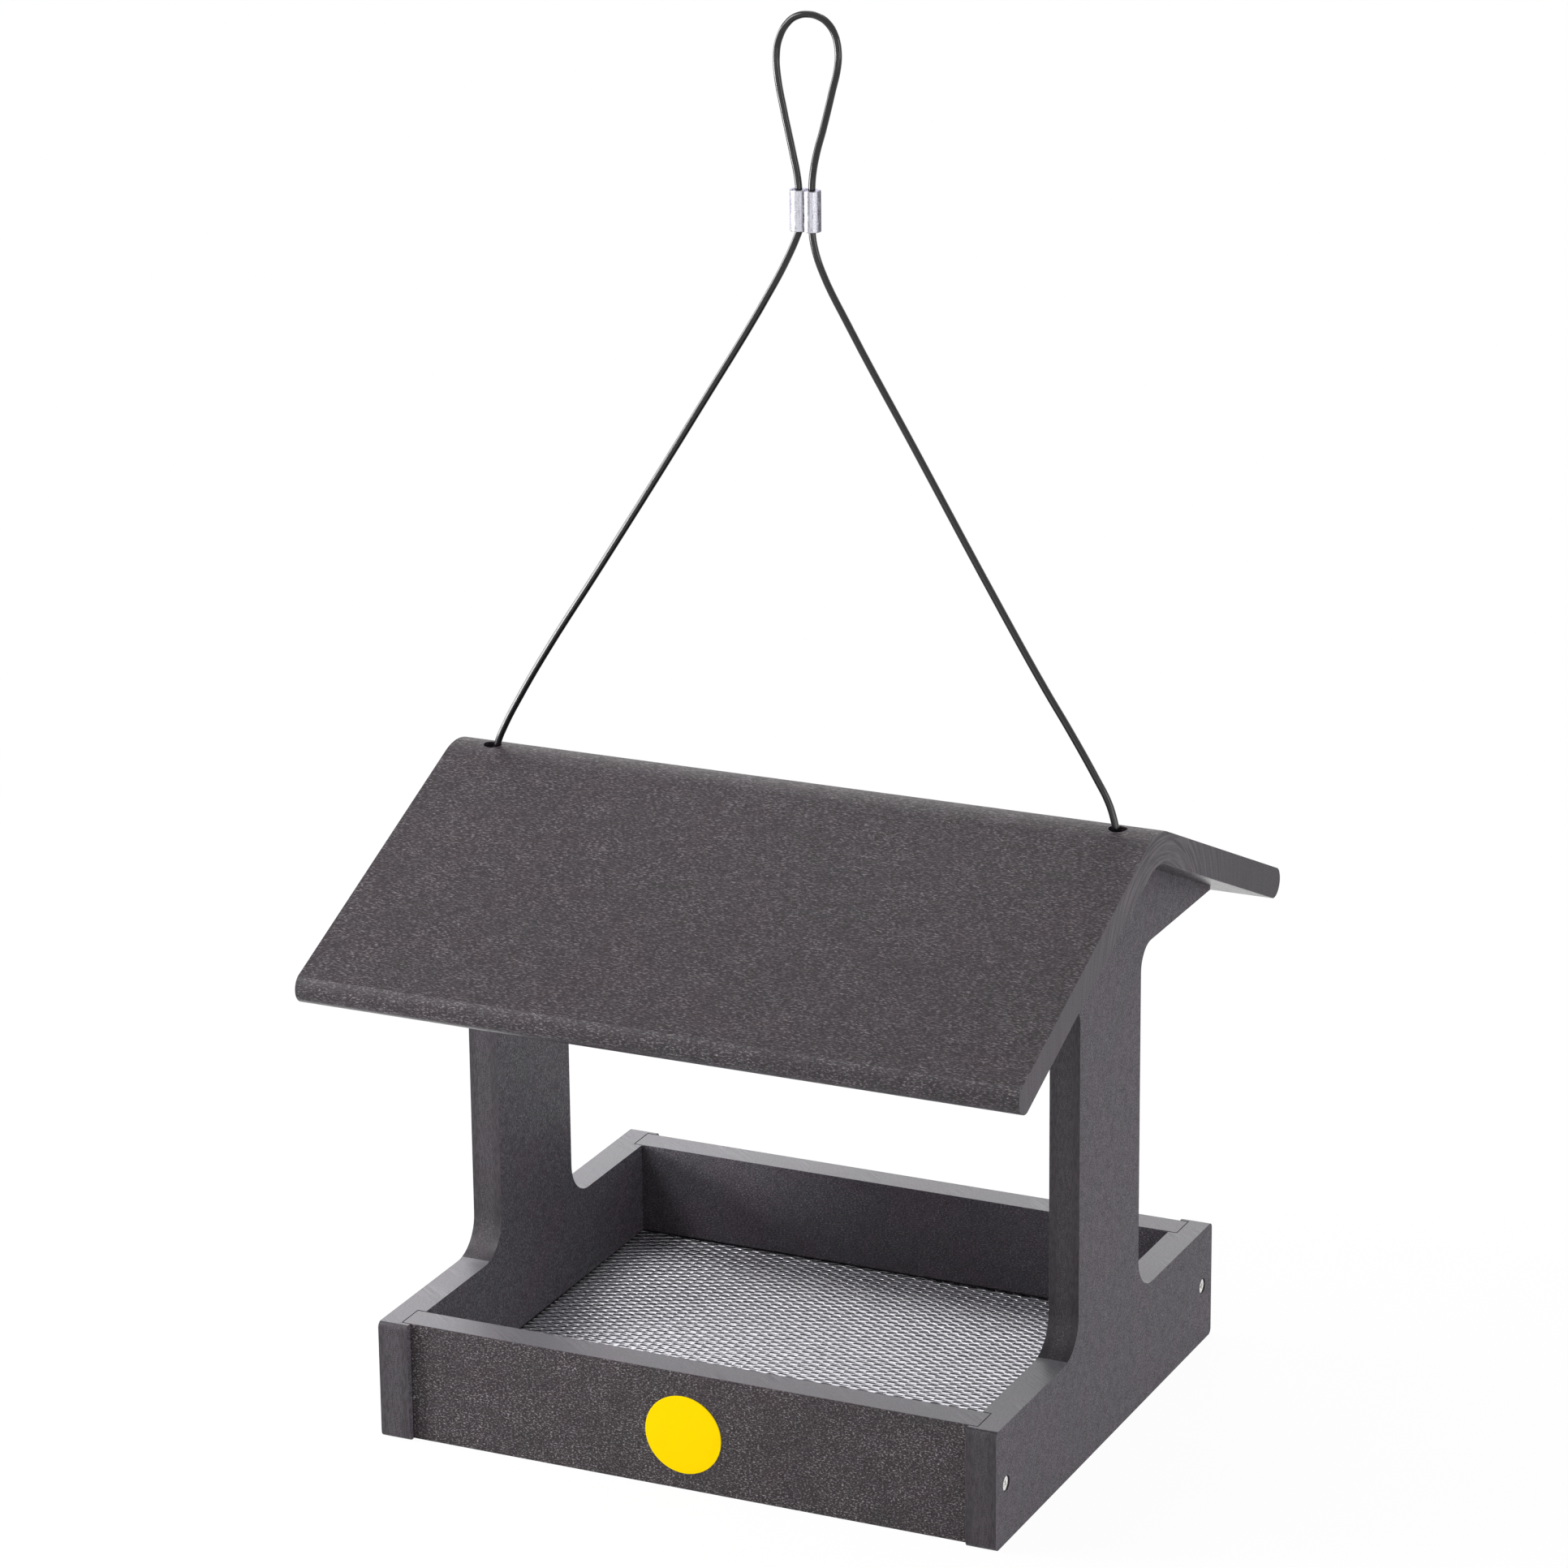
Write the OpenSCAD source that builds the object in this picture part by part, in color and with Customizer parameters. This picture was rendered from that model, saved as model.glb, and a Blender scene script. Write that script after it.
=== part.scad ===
// Fly-through bird feeder: a tray with an expanded-metal floor, two upright end
// frames with gable heads, and a one-piece roof that rests on the heads. A coated
// cable is anchored in both heads, runs up through the roof and ends in a loop.
// Millimetres: X along the ridge, Y across it, Z up from the tray's base.

/* [Lumber] */
// Thickness of the end frames and of the tray's boards
board_t = 15.9; // [12:0.1:20]
// Radius on the outer corners of an end frame's outline
corner_r = 3; // [1:0.5:6]

/* [Tray] */
// Length over the outer faces of the two end frames
tray_len = 333; // [260:1:420]
// Depth of the end frames, front to back
tray_depth = 286; // [230:1:340]
// Height of the tray's wall
tray_h = 62; // [45:1:90]
// Distance of each board from the end frames' front or back edge
board_inset = 4.8; // [3:0.1:12]

/* [Board joints] */
// Depth of the dado that takes the end of a board
dado_depth = 4.8; // [3:0.1:7]
// Room in the dado on each side of the board
dado_gap = 0.6; // [0.2:0.1:1.2]
// Room between the end of a board and the bottom of its dado
end_gap = 0.4; // [0.1:0.1:0.8]

/* [Uprights] */
// Width of the post in the middle of an end frame
post_w = 79; // [50:1:110]
// Radius where the post meets the tray's wall
foot_r = 19; // [8:1:26]
// Radius where the post meets the gable head
neck_r = 13; // [6:1:22]
// Half the width of the gable head
head_half = 134; // [100:1:150]
// Height of the blunt tip at each end of the head
head_tip = 1.8; // [1:0.1:6]
// Room between the head's flat top and the rounded corner of the roof over it
head_flat_gap = 2; // [1:0.5:8]

/* [Roof] */
// Height of the line where the two undersides would meet
peak_z = 306.6; // [260:1:360]
// Slope of each side, in degrees
roof_pitch = 23.6; // [15:0.1:32]
// Thickness of the roof
roof_t = 15.6; // [12:0.1:20]
// Length of a slope, from the ridge's sharp line to the eave's upper edge
slope_len = 184; // [165:1:220]
// Overhang of the roof past each end frame
roof_over = 23.5; // [18:0.5:60]
// Radius on top of the ridge
ridge_r = 30; // [10:1:40]
// Radius in the inside corner under the ridge
valley_r = 25; // [10:1:25]
// How far the rounded eave stands out past its square cut
eave_bulge = 6.2; // [3:0.1:7.5]

/* [Mesh floor] */
// Height of the floor's underside above the base
floor_z = 10.5; // [8:0.5:25]
// Thickness of the expanded-metal sheet
mesh_t = 2; // [1:0.1:2.4]
// Width of the saw kerf that holds the sheet
kerf_w = 3; // [2.8:0.1:4]
// Depth of the kerf in the boards and end frames
kerf_depth = 4; // [3:0.1:4.5]
// Room between the sheet's edge and the bottom of the kerf
mesh_gap = 0.6; // [0.3:0.1:1.5]
// Number of diamonds along the ridge
mesh_nx = 6; // [4:1:6]
// Number of diamonds across the ridge
mesh_ny = 9; // [6:1:9]
// Width of the metal between two diamonds
strand_w = 5; // [4:0.5:7]

/* [Screws] */
// Diameter of the screw's shank
screw_d = 4; // [3:0.1:5]
// Length under the screw's head
screw_len = 42; // [30:1:50]
// Diameter of the head
head_d = 7.4; // [6:0.1:9]
// Thickness of the head
head_t = 2.6; // [2:0.1:3]
// Diameter of the counterbore
bore_d = 8.2; // [7.8:0.1:9.6]
// Depth of the counterbore
bore_depth = 3.2; // [3:0.1:5]
// Height of the screws above the base
screw_z = 31; // [25:1:40]
// Room around the shank in its holes
pilot_gap = 0.05; // [0.02:0.01:0.2]

/* [Hanging cable] */
// Diameter of the coated cable
cable_d = 3.5; // [3:0.1:3.6]
// Diameter of the holes in the roof
roof_hole_d = 9.5; // [8:0.1:12]
// Distance of the roof holes from the end frames' outer faces
roof_hole_off = 2.8; // [2:0.1:4]
// Diameter of the anchor hole in each gable head
anchor_d = 6; // [5:0.1:8]
// Depth of the anchor holes below the peak of the undersides
anchor_drop = 29.6; // [20:0.1:40]
// Diameter of the stop on each end of the cable
stop_d = 9; // [8:0.1:14]
// Length of a stop
stop_len = 9; // [6:0.5:10]
// Diameter of each barrel of the crimp sleeve
barrel_d = 8.8; // [8:0.1:11]
// Length of the crimp sleeve
sleeve_len = 20; // [14:1:20]
// Room around the cable in the sleeve and the stops
crimp_gap = 0.05; // [0.02:0.01:0.2]

/* [Label] */
// Diameter of the plain round label on the front board
label_d = 41; // [20:1:50]
// Thickness of the label
label_t = 0.3; // [0.2:0.1:0.6]
// Distance of the label's centre from the middle of the board
label_x = -1; // [-60:1:60]
// Height of the label's centre
label_z = 29; // [26:1:34]

/* [Hidden] */
$fn = 48;

// Faces that the pieces share
face_x = tray_len / 2;
inner_x = face_x - board_t;
dado_x = inner_x + dado_depth;
half_d = tray_depth / 2;
board_y = half_d - board_inset - board_t / 2;
well_y = board_y - board_t / 2;
post_half = post_w / 2;

// Roof and gable heights
roof_len = tray_len + 2 * roof_over;
ridge_z = peak_z + roof_t / cos(roof_pitch);
head_flat = valley_r * sin(roof_pitch) + head_flat_gap;
anchor_z = peak_z - anchor_drop;
head_low = underside(head_half) - head_tip;
roof_hole_x = face_x + roof_hole_off;

// Middle of the crimp sleeve and its two barrels, where the cable runs
sleeve_x = 6.9;
sleeve_z = 610;
barrel_off = 3.4;

// The cable's route, one ring of the tube at each point: anchor, roof hole, sleeve, loop and back
route = [
    [-139, 277], [-161, 277], [-167.6, 278], [-171.8, 280.5], [-174, 284.5], [-173.9, 289.5], [-172.2, 296],
    [-170.2, 303.5], [-168.4, 312], [-166.7, 321], [-162.2, 331.5], [-153.7, 347], [-137, 374.5],
    [-107, 420], [-50, 508.3], [-10, 572.5], [-1.7, 588], [2.3, 596.8], [3.5, 600], [3.5, 620],
    [2.6, 627.5], [0.4, 638], [-4.1, 658.3], [-7.1, 674], [-7.6, 683], [-6, 692], [-1, 700.3], [3.5, 703.4],
    [9.3, 704.7], [14.8, 703.8], [19.5, 700.8], [23, 695.5], [24.6, 688], [24.2, 680], [21.5, 669],
    [16.3, 649.3], [13.1, 638.5], [11, 628.3], [10.3, 620], [10.3, 600], [11.2, 593.3], [15.3, 581],
    [28.7, 556.2], [62.6, 499.5], [107.8, 424], [131.4, 386], [144, 367], [158.3, 344], [164.2, 333.5],
    [167.3, 324.5], [168.5, 318.5], [168.9, 311], [170.2, 303.5], [172.2, 296], [173.9, 289.5],
    [174, 284.5], [171.8, 280.5], [167.6, 278], [161, 277], [139, 277]];

// Height of the roof's underside at a distance y from the ridge line
function underside(y) = peak_z - y * tan(roof_pitch);

// Points along an arc about c, from angle a to angle b in n steps
function arc(c, r, a, b, n) = [for (i = [0:n]) c + r * [cos(a + (b - a) * i / n), sin(a + (b - a) * i / n)]];

function flip(points) = [for (i = [len(points) - 1:-1:0]) [-points[i][0], points[i][1]]];

// Right half of an end frame's outline, from the base's middle round to the top of the head
function frame_half() = concat(
    arc([half_d - corner_r, corner_r], corner_r, -90, 0, 6),
    arc([half_d - corner_r, tray_h - corner_r], corner_r, 0, 90, 6),
    arc([post_half + foot_r, tray_h + foot_r], foot_r, -90, -180, 12),
    arc([post_half + neck_r, head_low - neck_r], neck_r, 180, 90, 10),
    [[head_half, head_low], [head_half, underside(head_half)], [head_flat, underside(head_flat)]]);

// Right half of the roof's section: underside, rounded eave, upper face and ridge
function roof_half() =
    let (p = roof_pitch, along = [cos(p), -sin(p)], out = [sin(p), cos(p)],
         eave = [0, ridge_z] + slope_len * along - roof_t / 2 * out,
         r = (pow(roof_t / 2, 2) + pow(eave_bulge, 2)) / (2 * eave_bulge),
         c = eave + (eave_bulge - r) * along,
         half = acos((r - eave_bulge) / r))
    concat(
        arc([0, peak_z - valley_r / cos(p)], valley_r, 90, 90 - p, 5),
        arc(c, r, -p - half, -p + half, 12),
        arc([0, ridge_z - ridge_r / cos(p)], ridge_r, 90 - p, 90, 5));

// Stands a Y-Z outline up and gives it a length along X, from x = 0
module along_x(length) {
    rotate([90, 0, 90]) linear_extrude(length) children();
}

// A rod along X from x = 0
module rod_x(d, length) {
    rotate([0, 90, 0]) cylinder(d = d, h = length);
}

// End frame with its outer face at x = face_x: base, post and head cut from one board
module end_frame() {
    difference() {
        translate([inner_x, 0, 0]) along_x(board_t) polygon(concat(frame_half(), flip(frame_half())));
        for (side = [-1, 1]) {
            // Dado for the board's end
            translate([inner_x - 1, side * board_y - board_t / 2 - dado_gap, -1])
                cube([dado_depth + 1, board_t + 2 * dado_gap, tray_h + 2]);
            // Screw hole and its counterbore
            translate([inner_x, side * board_y, screw_z]) rod_x(screw_d + 2 * pilot_gap, board_t + 1);
            translate([face_x - bore_depth, side * board_y, screw_z]) rod_x(bore_d, bore_depth + 1);
        }
        // Kerf for the floor, between the dados
        translate([inner_x - 1, -board_y, floor_z]) cube([kerf_depth + 1, 2 * board_y, kerf_w]);
        // Anchor hole for the cable
        translate([inner_x - 1, 0, anchor_z]) rod_x(anchor_d, board_t + 2);
    }
}

module left_end_frame() {
    color("dimgray") mirror([1, 0, 0]) end_frame();
}

module right_end_frame() {
    color("dimgray") end_frame();
}

// Board at the back of the tray, with the floor's kerf and pilot holes in its ends
module board() {
    half_len = dado_x - end_gap;
    pilot_depth = screw_len - (face_x - bore_depth - half_len) + 1;
    difference() {
        translate([-half_len, board_y - board_t / 2, 0]) cube([2 * half_len, board_t, tray_h]);
        translate([-half_len - 1, well_y - 1, floor_z]) cube([2 * half_len + 2, kerf_depth + 1, kerf_w]);
        for (side = [-1, 1])
            translate([side * half_len, board_y, screw_z])
                rotate([0, -side * 90, 0]) translate([0, 0, -1])
                    cylinder(d = screw_d + 2 * pilot_gap, h = pilot_depth + 1);
    }
}

module rear_board() {
    color("slategray") board();
}

module front_board() {
    color("slategray") mirror([0, 1, 0]) board();
}

// Floor sheet with staggered diamond openings, long way along the ridge
module mesh_floor() {
    half_x = inner_x + kerf_depth - mesh_gap;
    half_y = well_y + kerf_depth - mesh_gap;
    pitch_x = 2 * inner_x / mesh_nx;
    pitch_y = 2 * well_y / mesh_ny;
    open_x = pitch_x / 2 - strand_w;
    open_y = pitch_y / 2 - strand_w / 2;
    color("silver") translate([0, 0, floor_z]) linear_extrude(mesh_t) difference() {
        square([2 * half_x, 2 * half_y], center = true);
        for (i = [0:mesh_nx - 1], j = [0:mesh_ny - 1])
            translate([(i - (mesh_nx - 1) / 2) * pitch_x, (j - (mesh_ny - 1) / 2) * pitch_y])
                polygon([[open_x, 0], [0, open_y], [-open_x, 0], [0, -open_y]]);
        for (i = [1:mesh_nx - 1], j = [1:mesh_ny - 1])
            translate([(i - mesh_nx / 2) * pitch_x, (j - mesh_ny / 2) * pitch_y])
                polygon([[open_x, 0], [0, open_y], [-open_x, 0], [0, -open_y]]);
    }
}

// Screw along -X from the seat under its head at x = 0, with a cross recess in the head
module screw() {
    point = screw_d * 1.2;
    slot = [head_t / 2, head_d * 0.6, head_d * 0.14];
    difference() {
        rod_x(head_d, head_t);
        for (turn = [0, 90])
            rotate([turn, 0, 0]) translate([slot[0] + 0.1, -slot[1] / 2, -slot[2] / 2]) cube(slot);
    }
    translate([point - screw_len, 0, 0]) rod_x(screw_d, screw_len - point);
    translate([-screw_len, 0, 0]) rotate([0, 90, 0]) cylinder(d1 = 0.4, d2 = screw_d, h = point);
}

module tray_screws() {
    color("gainsboro") for (end = [0, 1], side = [-1, 1])
        mirror([end, 0, 0]) translate([face_x - bore_depth, side * board_y, screw_z]) screw();
}

// One-piece roof: an inverted V of even thickness, drilled for the cable
module roof() {
    color("darkslategray") difference() {
        translate([-roof_len / 2, 0, 0]) along_x(roof_len) polygon(concat(roof_half(), flip(roof_half())));
        for (end = [-1, 1])
            translate([end * roof_hole_x, 0, peak_z - 20]) cylinder(d = roof_hole_d, h = roof_t + 40);
    }
}

// Tube swept along the route in the X-Z plane
module hanger_cable() {
    n = len(route);
    sides = 8;
    dir = [for (i = [0:n - 1]) let (d = route[min(i + 1, n - 1)] - route[max(i - 1, 0)]) d / norm(d)];
    rings = [for (i = [0:n - 1], k = [0:sides - 1]) let (a = (k + 0.5) * 360 / sides, s = cable_d / 2 * cos(a))
        [route[i][0] - s * dir[i][1], cable_d / 2 * sin(a), route[i][1] + s * dir[i][0]]];
    walls = [for (i = [0:n - 2], k = [0:sides - 1]) let (m = (k + 1) % sides)
        [i * sides + k, i * sides + m, (i + 1) * sides + m, (i + 1) * sides + k]];
    first = [[for (k = [sides - 1:-1:0]) k]];
    last = [[for (k = [0:sides - 1]) (n - 1) * sides + k]];
    color("black") polyhedron(points = rings, faces = concat(walls, first, last));
}

// Double-barrel sleeve crimped round both strands under the loop
module crimp_sleeve() {
    color("lightgray") translate([sleeve_x, 0, sleeve_z - sleeve_len / 2]) difference() {
        for (side = [-1, 1])
            translate([side * barrel_off, 0, 0]) cylinder(d = barrel_d, h = sleeve_len);
        for (side = [-1, 1])
            translate([side * barrel_off, 0, -1]) cylinder(d = cable_d + 2 * crimp_gap, h = sleeve_len + 2);
    }
}

// Stop crimped on the cable's end, bearing on the inside of a gable head
module cable_stop() {
    color("lightgray") translate([inner_x - stop_len, 0, anchor_z]) difference() {
        rod_x(stop_d, stop_len);
        translate([-1, 0, 0]) rod_x(cable_d + 2 * crimp_gap, stop_len + 2);
    }
}

module left_cable_stop() {
    mirror([1, 0, 0]) cable_stop();
}

module right_cable_stop() {
    cable_stop();
}

// Plain round label on the front board's outer face
module front_label() {
    color("gold") translate([label_x, -board_y - board_t / 2, label_z]) rotate([90, 0, 0])
        cylinder(d = label_d, h = label_t, $fn = 96);
}

left_end_frame();
right_end_frame();
front_board();
rear_board();
mesh_floor();
tray_screws();
roof();
hanger_cable();
crimp_sleeve();
left_cable_stop();
right_cable_stop();
front_label();
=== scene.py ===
# Looks of the fly-through bird feeder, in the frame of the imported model
import math

import bmesh
import bpy
from mathutils import Matrix, Vector


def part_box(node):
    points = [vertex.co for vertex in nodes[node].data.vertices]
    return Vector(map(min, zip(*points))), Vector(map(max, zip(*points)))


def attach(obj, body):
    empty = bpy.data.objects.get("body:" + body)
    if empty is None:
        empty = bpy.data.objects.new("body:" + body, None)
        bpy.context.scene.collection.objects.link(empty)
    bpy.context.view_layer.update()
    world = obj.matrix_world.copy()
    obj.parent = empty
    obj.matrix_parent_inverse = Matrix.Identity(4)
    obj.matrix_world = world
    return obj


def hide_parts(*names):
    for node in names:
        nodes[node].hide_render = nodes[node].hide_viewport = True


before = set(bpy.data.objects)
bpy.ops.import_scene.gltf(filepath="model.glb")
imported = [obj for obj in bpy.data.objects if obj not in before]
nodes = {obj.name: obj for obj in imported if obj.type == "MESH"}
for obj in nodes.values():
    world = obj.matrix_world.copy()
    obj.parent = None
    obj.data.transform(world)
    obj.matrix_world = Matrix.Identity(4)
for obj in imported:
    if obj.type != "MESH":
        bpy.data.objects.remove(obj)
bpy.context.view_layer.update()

mm = 0.001


# camera
cameraView = dict(
    azimuth=25.05,       # degrees right of the front
    elevation=18.2,      # degrees above the horizon
    roll=-0.61,
    distance=2.8907,     # metres from the point it looks at
    target=(-0.00761, 0, 0.32043),
    lens=134.673,
    sensor=36,
    farthest=50,
)


def addCamera():
    azimuth = math.radians(cameraView["azimuth"])
    elevation = math.radians(cameraView["elevation"])
    roll = math.radians(cameraView["roll"])
    back = Vector((math.sin(azimuth) * math.cos(elevation),
                   -math.cos(azimuth) * math.cos(elevation), math.sin(elevation)))
    right = Vector((math.cos(azimuth), math.sin(azimuth), 0))
    up = back.cross(right)
    across = right * math.cos(roll) + up * math.sin(roll)
    upright = up * math.cos(roll) - right * math.sin(roll)
    turn = Matrix((across, upright, back)).transposed().to_4x4()
    data = bpy.data.cameras.new("camera")
    data.sensor_width = cameraView["sensor"]
    data.lens = cameraView["lens"]
    data.clip_end = cameraView["farthest"]
    camera = bpy.data.objects.new("camera", data)
    bpy.context.scene.collection.objects.link(camera)
    place = Vector(cameraView["target"]) + back * cameraView["distance"]
    camera.matrix_world = Matrix.Translation(place) @ turn
    bpy.context.scene.camera = camera


addCamera()
print("camera placed")


# building node trees
def put(tree, kind, inputs=None, **settings):
    node = tree.nodes.new(kind)
    for name, value in settings.items():
        setattr(node, name, value)
    for key, value in (inputs or {}).items():
        if isinstance(value, bpy.types.NodeSocket):
            tree.links.new(value, node.inputs[key])
        else:
            node.inputs[key].default_value = value
    return node


def calc(tree, operation, first, second=0.0):
    return put(tree, "ShaderNodeMath", {0: first, 1: second}, operation=operation).outputs[0]


def plus(tree, first, second):
    return calc(tree, "ADD", first, second)


def minus(tree, first, second):
    return calc(tree, "SUBTRACT", first, second)


def times(tree, first, second):
    return calc(tree, "MULTIPLY", first, second)


def remap(tree, value, low, high, newLow=0.0, newHigh=1.0):
    return put(tree, "ShaderNodeMapRange", {
        "Value": value, "From Min": low, "From Max": high, "To Min": newLow, "To Max": newHigh,
    }, interpolation_type="SMOOTHSTEP").outputs[0]


def mixColor(tree, factor, first, second, blend="MIX"):
    return put(tree, "ShaderNodeMix", {0: factor, 6: first, 7: second},
               data_type="RGBA", blend_type=blend).outputs[2]


def stretched(tree, vector, scale):
    return put(tree, "ShaderNodeVectorMath", {0: vector, 1: scale}, operation="MULTIPLY").outputs[0]


def axesOf(tree, vector):
    return put(tree, "ShaderNodeSeparateXYZ", {0: vector}).outputs


def joined(tree, x=0.0, y=0.0, z=0.0):
    return put(tree, "ShaderNodeCombineXYZ", {0: x, 1: y, 2: z}).outputs[0]


def noiseOf(tree, vector, scale=1.0, detail=2.0, roughness=0.5, distortion=0.0):
    return put(tree, "ShaderNodeTexNoise", {
        "Vector": vector, "Scale": scale, "Detail": detail,
        "Roughness": roughness, "Distortion": distortion,
    }).outputs["Fac"]


def bandOf(tree, value, centre, half):
    # 1 at the centre, falling to 0 at half a width on both sides
    away = calc(tree, "ABSOLUTE", minus(tree, value, centre))
    return minus(tree, 1.0, remap(tree, away, 0.0, half))


def tone(red, green, blue):
    def linear(value):
        value /= 255
        return value / 12.92 if value <= 0.04045 else ((value + 0.055) / 1.055) ** 2.4
    return (linear(red), linear(green), linear(blue), 1)


def grey(value):
    return (value, value, value, 1)


def newGroup(name, inputs, outputs, kind="ShaderNodeTree"):
    # inputs and outputs list the labels for each kind of socket
    tree = bpy.data.node_groups.new(name, kind)
    for side, sockets in (("INPUT", inputs), ("OUTPUT", outputs)):
        for socketKind, labels in sockets.items():
            for label in labels:
                tree.interface.new_socket(label, in_out=side, socket_type="NodeSocket" + socketKind)
    return tree, tree.nodes.new("NodeGroupInput").outputs, tree.nodes.new("NodeGroupOutput").inputs


# flecks and tint of the lumber
fleckLook = dict(
    fineScale=2.3,       # times the streaks' own cycles per metre
    largeScale=0.62,
    patchScale=60,       # cycles per metre
    cloudScale=180,
    patchiness=0.45,
    lightHue=(0.97, 0.94, 0.91, 1),    # what the warmer flecks are multiplied by
)
tintLook = dict(
    warm=(1.12, 0.93, 1.02, 1),    # what the base colour is multiplied by
    cold=(0.91, 1.03, 0.97, 1),
    warmScale=35,
    coldScale=(22, 30, 40),
    lumberDrift=0.5,
)


def buildFlecks():
    # light flecks that the brush leaves, pulled out along one axis
    tree, given, result = newGroup(
        "brushedFlecks", {"Vector": ["Vector", "Stretch"], "Float": ["Amount", "Patchiness"]},
        {"Float": ["Fleck", "Shade", "Hue", "Height"]})
    drawn = stretched(tree, given["Vector"], given["Stretch"])
    streak = noiseOf(tree, drawn, 1.0, 1.5, 0.5, 0.2)
    fine = noiseOf(tree, drawn, fleckLook["fineScale"], 2.0, 0.6)
    large = noiseOf(tree, drawn, fleckLook["largeScale"], 1.0, 0.5, 0.3)
    patch = remap(tree, noiseOf(tree, given["Vector"], fleckLook["patchScale"], 2.0, 0.6), 0.35, 0.65)
    gap = times(tree, given["Patchiness"], minus(tree, 1.0, patch))
    soft = times(tree, remap(tree, streak, 0.5, 0.78), remap(tree, fine, 0.34, 0.66, 0.3, 1.0))
    whole = remap(tree, plus(tree, streak, large), 1.2, 1.5)
    fleck = times(tree, calc(tree, "MAXIMUM", soft, whole), minus(tree, 1.0, gap))
    fleck = times(tree, fleck, given["Amount"])
    cloud = noiseOf(tree, given["Vector"], fleckLook["cloudScale"], 2.0, 0.6)
    shade = plus(tree, times(tree, plus(tree, streak, fine), 0.42), times(tree, cloud, 0.16))
    tree.links.new(fleck, result["Fleck"])
    tree.links.new(remap(tree, shade, 0.38, 0.62), result["Shade"])
    tree.links.new(remap(tree, large, 0.4, 0.6), result["Hue"])
    tree.links.new(plus(tree, fleck, times(tree, fine, 0.5)), result["Height"])
    return tree


def buildTint():
    # slow drift between reddish and greenish greys
    tree, given, result = newGroup(
        "slowTint", {"Vector": ["Vector"], "Color": ["Base"], "Float": ["Drift"]},
        {"Color": ["Color"]})
    warm = remap(tree, noiseOf(tree, given["Vector"], tintLook["warmScale"], 3.0, 0.6), 0.35, 0.65)
    drawn = stretched(tree, given["Vector"], tintLook["coldScale"])
    cold = remap(tree, noiseOf(tree, drawn, 1.0, 2.0), 0.4, 0.7)
    color = given["Base"]
    for share, hue in ((warm, tintLook["warm"]), (cold, tintLook["cold"])):
        color = mixColor(tree, times(tree, share, given["Drift"]), color, hue, "MULTIPLY")
    tree.links.new(color, result["Color"])
    return tree


flecks = buildFlecks()
slowTint = buildTint()


# parts of a material
def newMaterial(name):
    material = bpy.data.materials.new(name)
    material.use_nodes = True
    tree = material.node_tree
    shader = next(n for n in tree.nodes if n.type == "BSDF_PRINCIPLED")
    place = put(tree, "ShaderNodeTexCoord").outputs["Object"]
    return material, tree, shader, place


def useGroup(tree, group, inputs):
    return put(tree, "ShaderNodeGroup", inputs, node_tree=group).outputs


def tinted(tree, place, base, drift):
    return useGroup(tree, slowTint, {"Vector": place, "Base": base, "Drift": drift})["Color"]


def between(tree, factor, color, low, high):
    # the colour darkened by low at 0 and lightened by high at 1
    dark = mixColor(tree, 1.0, color, grey(low), "MULTIPLY")
    light = mixColor(tree, 1.0, color, grey(high), "MULTIPLY")
    return mixColor(tree, factor, dark, light)


def finish(tree, shader, color, rough, height, relief, shine=0.5):
    tree.links.new(color, shader.inputs["Base Color"])
    tree.links.new(rough, shader.inputs["Roughness"])
    shader.inputs["Specular IOR Level"].default_value = shine
    bump = put(tree, "ShaderNodeBump", {"Height": height, "Distance": relief * mm})
    tree.links.new(bump.outputs[0], shader.inputs["Normal"])


# recycled plastic lumber; stretch is in cycles per metre along X, Y and Z, relief in mm
lumberLooks = dict(
    brushedRoof=dict(base=tone(49, 43, 47), light=tone(138, 131, 137), stretch=(520, 1800, 1800),
                     amount=0.88, relief=0.1, shine=0.15),
    brushedBoard=dict(base=tone(55, 50, 53), light=tone(184, 179, 183), stretch=(850, 1600, 1600),
                      amount=1.0, relief=0.1, shine=0.22),
    # painted light: a lighter copy of the board lumber for the rear board, standing in for light in
    # the shaded inside
    paintedLightInnerBoard=dict(base=tone(88, 84, 91), light=tone(176, 172, 178), stretch=(900, 1750, 1750),
                    amount=0.6, relief=0.1, shine=0.22),
    # painted light: a lighter copy of the frame lumber for the end frames' inner faces, standing in
    # for light in the shaded inside
    paintedLightInnerFrame=dict(base=tone(92, 89, 96), light=tone(168, 165, 173), stretch=(1200, 1200, 1200),
                    amount=0.7, relief=0.06, shine=0.22),
    sandedFrame=dict(base=tone(74, 69, 77), light=tone(144, 138, 149), stretch=(1500, 1500, 1500),
                     amount=0.45, relief=0.06, shine=0.22),
    brushedNose=dict(base=tone(54, 49, 53), light=tone(165, 159, 165), stretch=(600, 1800, 1800),
                     amount=0.9, relief=0.12, shine=0.28),
    planedUnder=dict(base=tone(60, 56, 61), light=tone(120, 116, 122), stretch=(300, 1500, 1500),
                     amount=0.4, relief=0.03, rough=(0.2, 0.3)),
    # painted highlight: the rounded edges get a lighter copy of the lumber that stands in for the
    # light they catch
    paintedEdgeHighlight=dict(base=tone(80, 75, 81), light=tone(160, 155, 162), stretch=(900, 1600, 1600),
                  amount=0.5, relief=0.06),
)


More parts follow.
